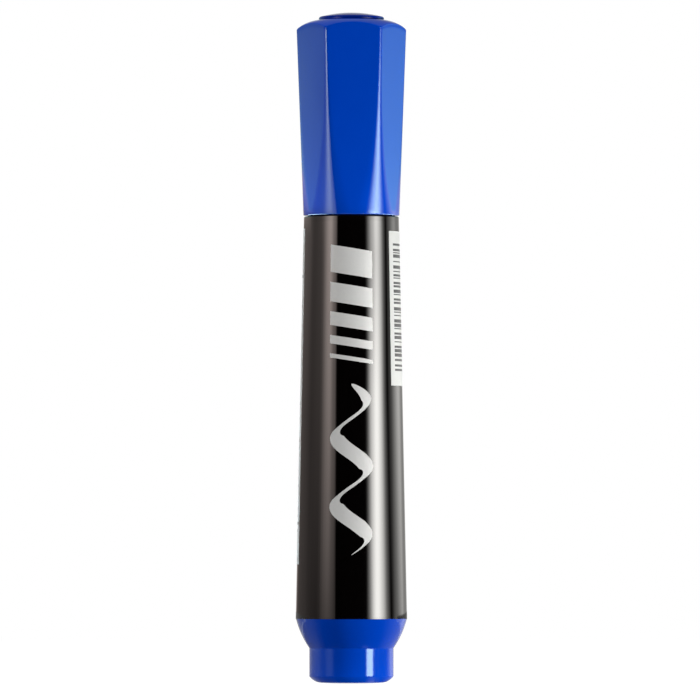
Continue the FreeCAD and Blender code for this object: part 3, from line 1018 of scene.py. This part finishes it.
# %% The sky: white to the eye, and in a mirror white only low behind the pen
SKY = 0.1  # the plain light that it gives to the colours
WHITE_BEHIND = 0.4  # how far a ray has to go back, out of one, to meet full white
DIM_FROM = 0.05  # how far up, out of one, it begins to dim
DIM_TO = 0.5
DIM_LEVEL = 0.25
world = bpy.data.worlds.new("studio")
bpy.context.scene.world = world
world.use_nodes = True
sky = world.node_tree
sky.nodes.clear()
seen = add_node(sky, "ShaderNodeLightPath")
direction = add_node(sky, "ShaderNodeTexCoord")
direction = add_node(sky, "ShaderNodeSeparateXYZ", {0: direction.outputs["Generated"]})
behind = add_node(sky, "ShaderNodeMapRange", {
    "Value": direction.outputs["Y"], "From Min": 0.0, "From Max": WHITE_BEHIND,
    "To Min": 0.0, "To Max": 1.0}, interpolation_type="SMOOTHSTEP")
overhead = add_node(sky, "ShaderNodeMapRange", {
    "Value": direction.outputs["Z"], "From Min": DIM_FROM, "From Max": DIM_TO,
    "To Min": 1.0, "To Max": DIM_LEVEL}, interpolation_type="SMOOTHSTEP")
backdrop = add_node(sky, "ShaderNodeMath", {0: behind, 1: overhead}, operation="MULTIPLY")
mirrored = add_node(sky, "ShaderNodeMath", {
    0: seen.outputs["Is Glossy Ray"], 1: backdrop,
    2: seen.outputs["Is Transmission Ray"]}, operation="MULTIPLY_ADD")
shown = add_node(sky, "ShaderNodeMath", {
    0: seen.outputs["Is Camera Ray"], 1: mirrored}, operation="ADD", use_clamp=True)
strength = add_node(sky, "ShaderNodeMath", {
    0: seen.outputs["Is Diffuse Ray"], 1: SKY, 2: shown}, operation="MULTIPLY_ADD")
background = add_node(sky, "ShaderNodeBackground", {"Strength": strength})
background.inputs["Color"].default_value = (1, 1, 1, 1)
add_node(sky, "ShaderNodeOutputWorld", {0: background})


# %% A card that only reflections see
def reflector(name, grid, levels, material):
    """A grid of points with a level at each one, for a card of this material."""
    mesh = bpy.data.meshes.new(name)
    faces = strips(len(grid), len(grid[0]), closed=False)
    mesh.from_pydata([point for row in grid for point in row], [], faces)
    glow = mesh.attributes.new("level", "FLOAT", "POINT")
    glow.data.foreach_set("value", [level for row in levels for level in row])
    mesh.materials.append(material)
    card = put_in_scene(name, mesh)
    for ray in ("camera", "diffuse", "transmission", "shadow"):
        setattr(card, f"visible_{ray}", False)
    return card


# %% A light that is as strong as the card's level
def glowing(name, tint, cool_tint=None):
    """A light whose colour goes to the cool tint where the card has an attribute that asks for it."""
    material, tree = empty_material(name)
    level = add_node(tree, "ShaderNodeAttribute", attribute_name="level")
    cool = add_node(tree, "ShaderNodeAttribute", attribute_name="cool")
    colour = add_node(tree, "ShaderNodeMix", {
        0: cool.outputs["Fac"], 6: linear(tint), 7: linear(cool_tint or tint)}, data_type="RGBA")
    light = add_node(tree, "ShaderNodeEmission", {
        "Color": colour.outputs[2], "Strength": level.outputs["Fac"]})
    add_node(tree, "ShaderNodeOutputMaterial", {0: light})
    return material


# %% A place round the pen
def place(around, distance, height):
    """A point at an angle to the right of the front, in degrees."""
    turned = math.radians(around)
    return distance * math.sin(turned), -distance * math.cos(turned), height


# %% The right soft box
RIGHT_HEIGHTS = (0.014, 0.066, 0.095)
RIGHT_BOX = (  # angle to the right of the front, and the level there at each of the heights
    (-33, 0, 0, 0), (0, 0, 0, 0), (28, 0, 0, 0), (31, 0.05, 0.05, 0), (34, 0.95, 0.6, 0.15),
    (37, 2.4, 2.4, 0.9), (40, 4.9, 5.8, 2.4), (43, 8.8, 9.6, 4), (46, 12.9, 12.3, 6.1),
    (49, 16.1, 14, 7.6), (52, 18.1, 16.5, 8.7), (55, 18.6, 18.7, 10.6), (58, 17.8, 18.9, 12.7),
    (61, 15.9, 17.8, 13.2), (64, 13.5, 15.4, 12.4), (67, 11.3, 12.6, 10.7), (70, 9.1, 9.7, 8.8),
    (73, 6.3, 6.3, 6.5), (76, 3.7, 3.4, 4.1), (79, 2.1, 1.6, 2.1), (82, 1.3, 0.7, 1.05),
    (85, 0.6, 0.15, 0.45), (88, 0.05, 0, 0), (91, 0, 0.25, 0.15), (95, 0.25, 0.55, 0.6),
    (100, 0.8, 0.9, 1.05), (105, 1.1, 1.6, 1.5), (110, 1.35, 2.35, 2.05), (117, 1.9, 3.1, 2.55),
    (124, 2.15, 3.4, 2.2), (131, 2.15, 3, 1.3), (138, 1.2, 1.75, 0.9), (148, 0.65, 0.75, 0.7),
    (168, 0.6, 0.6, 0.8))

# %% The left soft box
LEFT_HEIGHTS = (0.014, 0.058, 0.0965, 0.104, 0.125, 0.135)
LEFT_BOX = (
    (-168, 0.7, 0.8, 0.5, 0.8, 0.8, 0.6), (-150, 0.22, 0.4, 0.35, 0.85, 0.85, 0.6),
    (-140, 0.22, 0.3, 0.45, 1.15, 1.15, 0.7), (-128, 0.27, 0.37, 0.57, 1.3, 1.3, 0.75),
    (-114, 0.34, 0.42, 0.7, 1.3, 1.2, 0.75), (-113, 0.35, 0.43, 0.72, 0.72, 0.68, 0.75),
    (-100, 0.3, 0.38, 0.52, 0.55, 0.55, 0.55), (-90, 0.27, 0.48, 0.6, 0.6, 0.6, 0.6),
    (-81, 0.25, 0.58, 0.75, 0.8, 0.8, 0.8), (-75, 0.25, 0.62, 0.85, 1, 1, 1),
    (-69, 0.34, 0.95, 1.3, 1.7, 2.4, 2.2), (-63, 0.63, 2, 2.75, 3.2, 5.2, 4.7),
    (-57, 0.8, 3, 4.55, 4.9, 8.6, 7.8), (-51, 0.9, 3.6, 5.65, 6, 10.5, 9.6),
    (-48, 0.88, 3.5, 5.45, 5.8, 10.4, 9.4), (-45, 0.84, 2.8, 4.35, 4.8, 8.2, 7.5),
    (-42, 0.8, 2.05, 3.1, 3.5, 6, 5.5), (-39, 0.6, 1.75, 2.35, 2.8, 4.6, 4.2),
    (-37, 0.5, 1.6, 2.1, 2.4, 4, 3.6), (-35, 0.55, 0.95, 1.4, 1.6, 2.6, 2.4),
    (-34, 0.45, 0.4, 0.65, 0.9, 0.9, 0.9), (-33, 0.35, 0.05, 0.25, 0.3, 0.3, 0.3),
    (-32, 0.2, 0, 0.1, 0.1, 0.1, 0.1), (-31, 0, 0, 0, 0, 0, 0))


# %% The upper part of the boxes
# For the cap and the disc on it comes a share of the last of these levels: the height, the share in
# front, and the share at the side. There the light is also cooler.
CAP_BEGINS = 0.104
RIGHT_SHARES = (
    (CAP_BEGINS, 1.1, 0.95), (0.112, 0.75, 0.65), (0.12, 0.36, 0.57), (0.13, 0.36, 0.49),
    (0.135, 0.36, 0.46), (0.137, 0.07, 0.2), (0.141, 0.07, 0.2), (0.148, 0.35, 0.5))
LEFT_SHARES = ((0.137, 0.1, 1), (0.141, 0.1, 1), (0.148, 0.4, 1))

# %% The cards of the boxes
BOX_DISTANCE = 0.2
BOX_TOP = 0.19
COOLING = 0.0003  # the height over which the light goes cooler
SIDE_BEGINS = 100  # degrees from the front
SIDE_FULL = 117


def soft_box(name, profile, heights, shares, material):
    """Below the first height and above the last one the glow stays the same."""
    aside = [(abs(stop[0]) - SIDE_BEGINS) / (SIDE_FULL - SIDE_BEGINS) for stop in profile]
    aside = [min(max(share, 0), 1) for share in aside]
    rows = [(0, 1), *((height, k + 1) for k, height in enumerate(heights))]
    levels = [[stop[column] for stop in profile] for _, column in rows]
    levels += [[stop[-1] * (front + (side - front) * turned) for stop, turned in zip(profile, aside)]
               for _, front, side in (*shares, shares[-1])]
    heights = [height for height, _ in rows] + [share[0] for share in shares] + [BOX_TOP]
    cap_row = heights.index(CAP_BEGINS) + 1
    heights.insert(cap_row, CAP_BEGINS + COOLING)
    levels.insert(cap_row, levels[cap_row - 1])
    grid = [[place(stop[0], BOX_DISTANCE, height) for stop in profile] for height in heights]
    card = reflector(name, grid, levels, material)
    cool = card.data.attributes.new("cool", "FLOAT", "POINT")
    cool.data.foreach_set("value", [
        turned if height > CAP_BEGINS else 0 for height in heights for turned in aside])


soft_box("right_soft_box", RIGHT_BOX, RIGHT_HEIGHTS, RIGHT_SHARES,
         glowing("warm_white_light", "FFFDF9", "C4FDF9"))
soft_box("left_soft_box", LEFT_BOX, LEFT_HEIGHTS, LEFT_SHARES,
         glowing("warm_light", "FFEDE6", "C8EDE6"))

# %% A low screen round the foot
SCREEN_DISTANCES = (0.05, 0.05)
SCREEN_HEIGHT = 0.009
SCREEN = (
    (-161, 0.6), (-144, 0.5), (-126, 0.4), (-104, 0.45), (-96, 0.45), (-88, 0.3), (-80, 0.18),
    (-73, 0.15), (-67.5, 0.4), (-61, 0.55), (-53.5, 0.55), (-49, 0.3), (-44, 0.03), (-37, 0),
    (-20, 0), (0, 0), (20, 0), (34, 0), (36.5, 0.5), (38.4, 4), (40.3, 14), (45, 16), (51.5, 16),
    (55.4, 14), (57.2, 3), (61, 0.2), (66.5, 0.02), (70, 0.03), (73, 0.3), (76, 0.03), (79.5, 0.02),
    (97, 0.01), (105, 0.1), (112, 0.45), (121.5, 1.1), (129, 1.4), (141, 0.8), (159, 0.7))
foot_light = glowing("foot_light", "FFFDF9")


def band(name, profile, distances, heights, material=foot_light):
    """A card between two edges, for a profile of angles and levels."""
    grid = [[place(around, *edge) for around, _ in profile] for edge in zip(distances, heights)]
    return reflector(name, grid, [[level for _, level in profile]] * 2, material)


band("foot_screen", SCREEN, SCREEN_DISTANCES, (0, SCREEN_HEIGHT))

# %% [markdown]
# A dim rail stands behind the screen, round the back. It keeps the bright strips on the floor, which
# come next, out of the outline of the shoulder.

# %% The rail
RAIL_DISTANCES = (0.051, 0.051)
RAIL_TOP = 0.0135
RAIL_LEVEL = 0.3
RAIL = [(around, RAIL_LEVEL) for around in range(100, 261, 10)]
band("foot_rail", RAIL, RAIL_DISTANCES, (0, RAIL_TOP))

# %% Cards on the floor: rings for the foot and the shoulder, and two strips for the cap's rim
RING_HEIGHTS = (0.0002, 0.0002)
STRIP_HEIGHTS = (0.0004, 0.0004)
FOOT_REACH = (0.0005, 0.012)
SHOULDER_REACH = (0.012, 0.045)
STRIP_REACH = (0.055, 0.19)
FOOT_RING = (
    (-180, 0.6), (-150, 0.6), (-125, 0.55), (-105, 0.5), (-90, 0.45), (-75, 0.3), (-60, 0.15),
    (-50, 0.1), (-25, 0), (0, 0), (22, 0), (28, 0.4), (34, 0.55), (40, 0.15), (50, 0.02), (60, 0.05),
    (75, 0.25), (90, 0.5), (105, 0.7), (120, 0.7), (150, 0.7), (180, 0.6))
SHOULDER_RING = (
    (-180, 0.2), (-150, 0.2), (-125, 0.25), (-110, 0.3), (-98, 0.32), (-85, 0.3), (-72, 0.12),
    (-60, 0), (-30, 0), (0, 0), (30, 0), (58, 0), (70, 0.1), (80, 0.25), (95, 0.4), (120, 0.5),
    (150, 0.5), (180, 0.2))
RIGHT_STRIP = ((60, 0), (70, 1), (84, 2), (92, 10), (110, 8), (130, 10), (150, 12), (168, 8))
LEFT_STRIP = (
    (-168, 13), (-150, 19), (-125, 18), (-105, 15), (-90, 9), (-75, 7), (-60, 5), (-45, 3), (-30, 0))
rim_light = glowing("rim_light", "D6F0FF")
band("foot_ring", FOOT_RING, FOOT_REACH, RING_HEIGHTS)
band("shoulder_ring", SHOULDER_RING, SHOULDER_REACH, RING_HEIGHTS)
band("right_strip", RIGHT_STRIP, STRIP_REACH, STRIP_HEIGHTS, rim_light)
band("left_strip", LEFT_STRIP, STRIP_REACH, STRIP_HEIGHTS, rim_light)

# %% [markdown]
# Two small cards only light colours: one under the foot, and one round the cap's mouth, which glows
# upwards alone. They stand in for light that the white table and the barrel's rim throw back.

# %% The card under the foot
UNDER_REACH = (0.0052, 0.0135)
UNDER_HEIGHTS = (0.0001, 0.0001)
UNDER_GLOW = (
    (-180, 0.6), (-90, 0.5), (-45, 0.4), (-20, 0.5), (0, 0.6), (30, 0.75), (60, 0.9), (120, 0.9),
    (180, 0.6))
under_glow = band("under_glow", UNDER_GLOW, UNDER_REACH, UNDER_HEIGHTS)

# %% The card round the cap's mouth
upward_light, tree = empty_material("upward_light")
level = add_node(tree, "ShaderNodeAttribute", attribute_name="level")
above = add_node(tree, "ShaderNodeNewGeometry")
light = add_node(tree, "ShaderNodeEmission", {"Strength": level.outputs["Fac"]})
passing = add_node(tree, "ShaderNodeBsdfTransparent")
both = add_node(tree, "ShaderNodeMixShader", {0: above.outputs["Backfacing"], 1: passing, 2: light})
add_node(tree, "ShaderNodeOutputMaterial", {0: both})
MOUTH_REACH = (0.0113, 0.03)
MOUTH_HEIGHTS = (barrel_front * MM + 0.0002, barrel_front * MM + 0.0002)
MOUTH_GLOW = (
    (-180, 0.5), (-120, 1.0), (-75, 1.0), (-40, 0.9), (-18, 0.05), (0, 0.4), (20, 0.85), (50, 0.55),
    (75, 0.1), (120, 0.1), (180, 0.5))
mouth_glow = band("mouth_glow", MOUTH_GLOW, MOUTH_REACH, MOUTH_HEIGHTS, upward_light)
for card in (under_glow, mouth_glow):
    card.visible_diffuse = True
    card.visible_glossy = False


# %% Lamps for the colours
LAMPS = (  # name, degrees to the right of the front, degrees up, distance, size, level
    ("key_lamp", 70, -6, 0.3, 0.05, 0.85),
    ("front_lamp", -30, 35, 1.0, 0.6, 0.31),
    ("left_lamp", -75, -6, 0.3, 0.05, 0.12),
    ("top_lamp", 0, 88, 0.6, 0.1, 0.28))


def soft_lamp(name, around, up, distance, size, level):
    """level is how bright the lamp makes a white card that faces it."""
    light = bpy.data.lights.new(name, "AREA")
    light.shape = "DISK"
    light.size = size
    light.energy = level * (math.pi * distance) ** 2
    lamp = put_in_scene(name, light)
    aim = Vector((0, 0, marker_top * MM / 2))
    raised = math.radians(up)
    way = Vector(place(around, math.cos(raised), math.sin(raised)))
    lamp.location = aim + way * distance
    lamp.rotation_euler = way.to_track_quat("Z", "Y").to_euler()
    lamp.visible_glossy = False


for lamp in LAMPS:
    soft_lamp(*lamp)

# %% [markdown]
# ## The camera
# The picture of a pen should have no perspective to speak of, so the camera stands far off with a long
# lens, a little above the table, and looks slightly upwards at the middle of the pen.

# %% Camera
EYE_DISTANCE = 1.63
EYE_HEIGHT = 0.025
AIM_HEIGHT = 0.0637
FRAME_SIDE = 0.1339  # what the picture takes in at the pen
AIM_ASIDE = -0.00027
SENSOR = 36.0
NEAREST = 0.05  # what it sees lies between these two distances
FARTHEST = 30.0
camera_data = bpy.data.cameras.new("camera")
camera_data.sensor_width = SENSOR
camera_data.lens = SENSOR * EYE_DISTANCE / FRAME_SIDE
camera_data.clip_start = NEAREST
camera_data.clip_end = FARTHEST
camera = put_in_scene("camera", camera_data)
camera.location = (AIM_ASIDE, -EYE_DISTANCE, EYE_HEIGHT)
aim = Vector((AIM_ASIDE, 0, AIM_HEIGHT)) - camera.location
camera.rotation_euler = aim.to_track_quat("-Z", "Y").to_euler()
bpy.context.scene.camera = camera
bpy.context.scene.view_settings.view_transform = "Standard"
print(f"lens {camera_data.lens:.0f} mm")
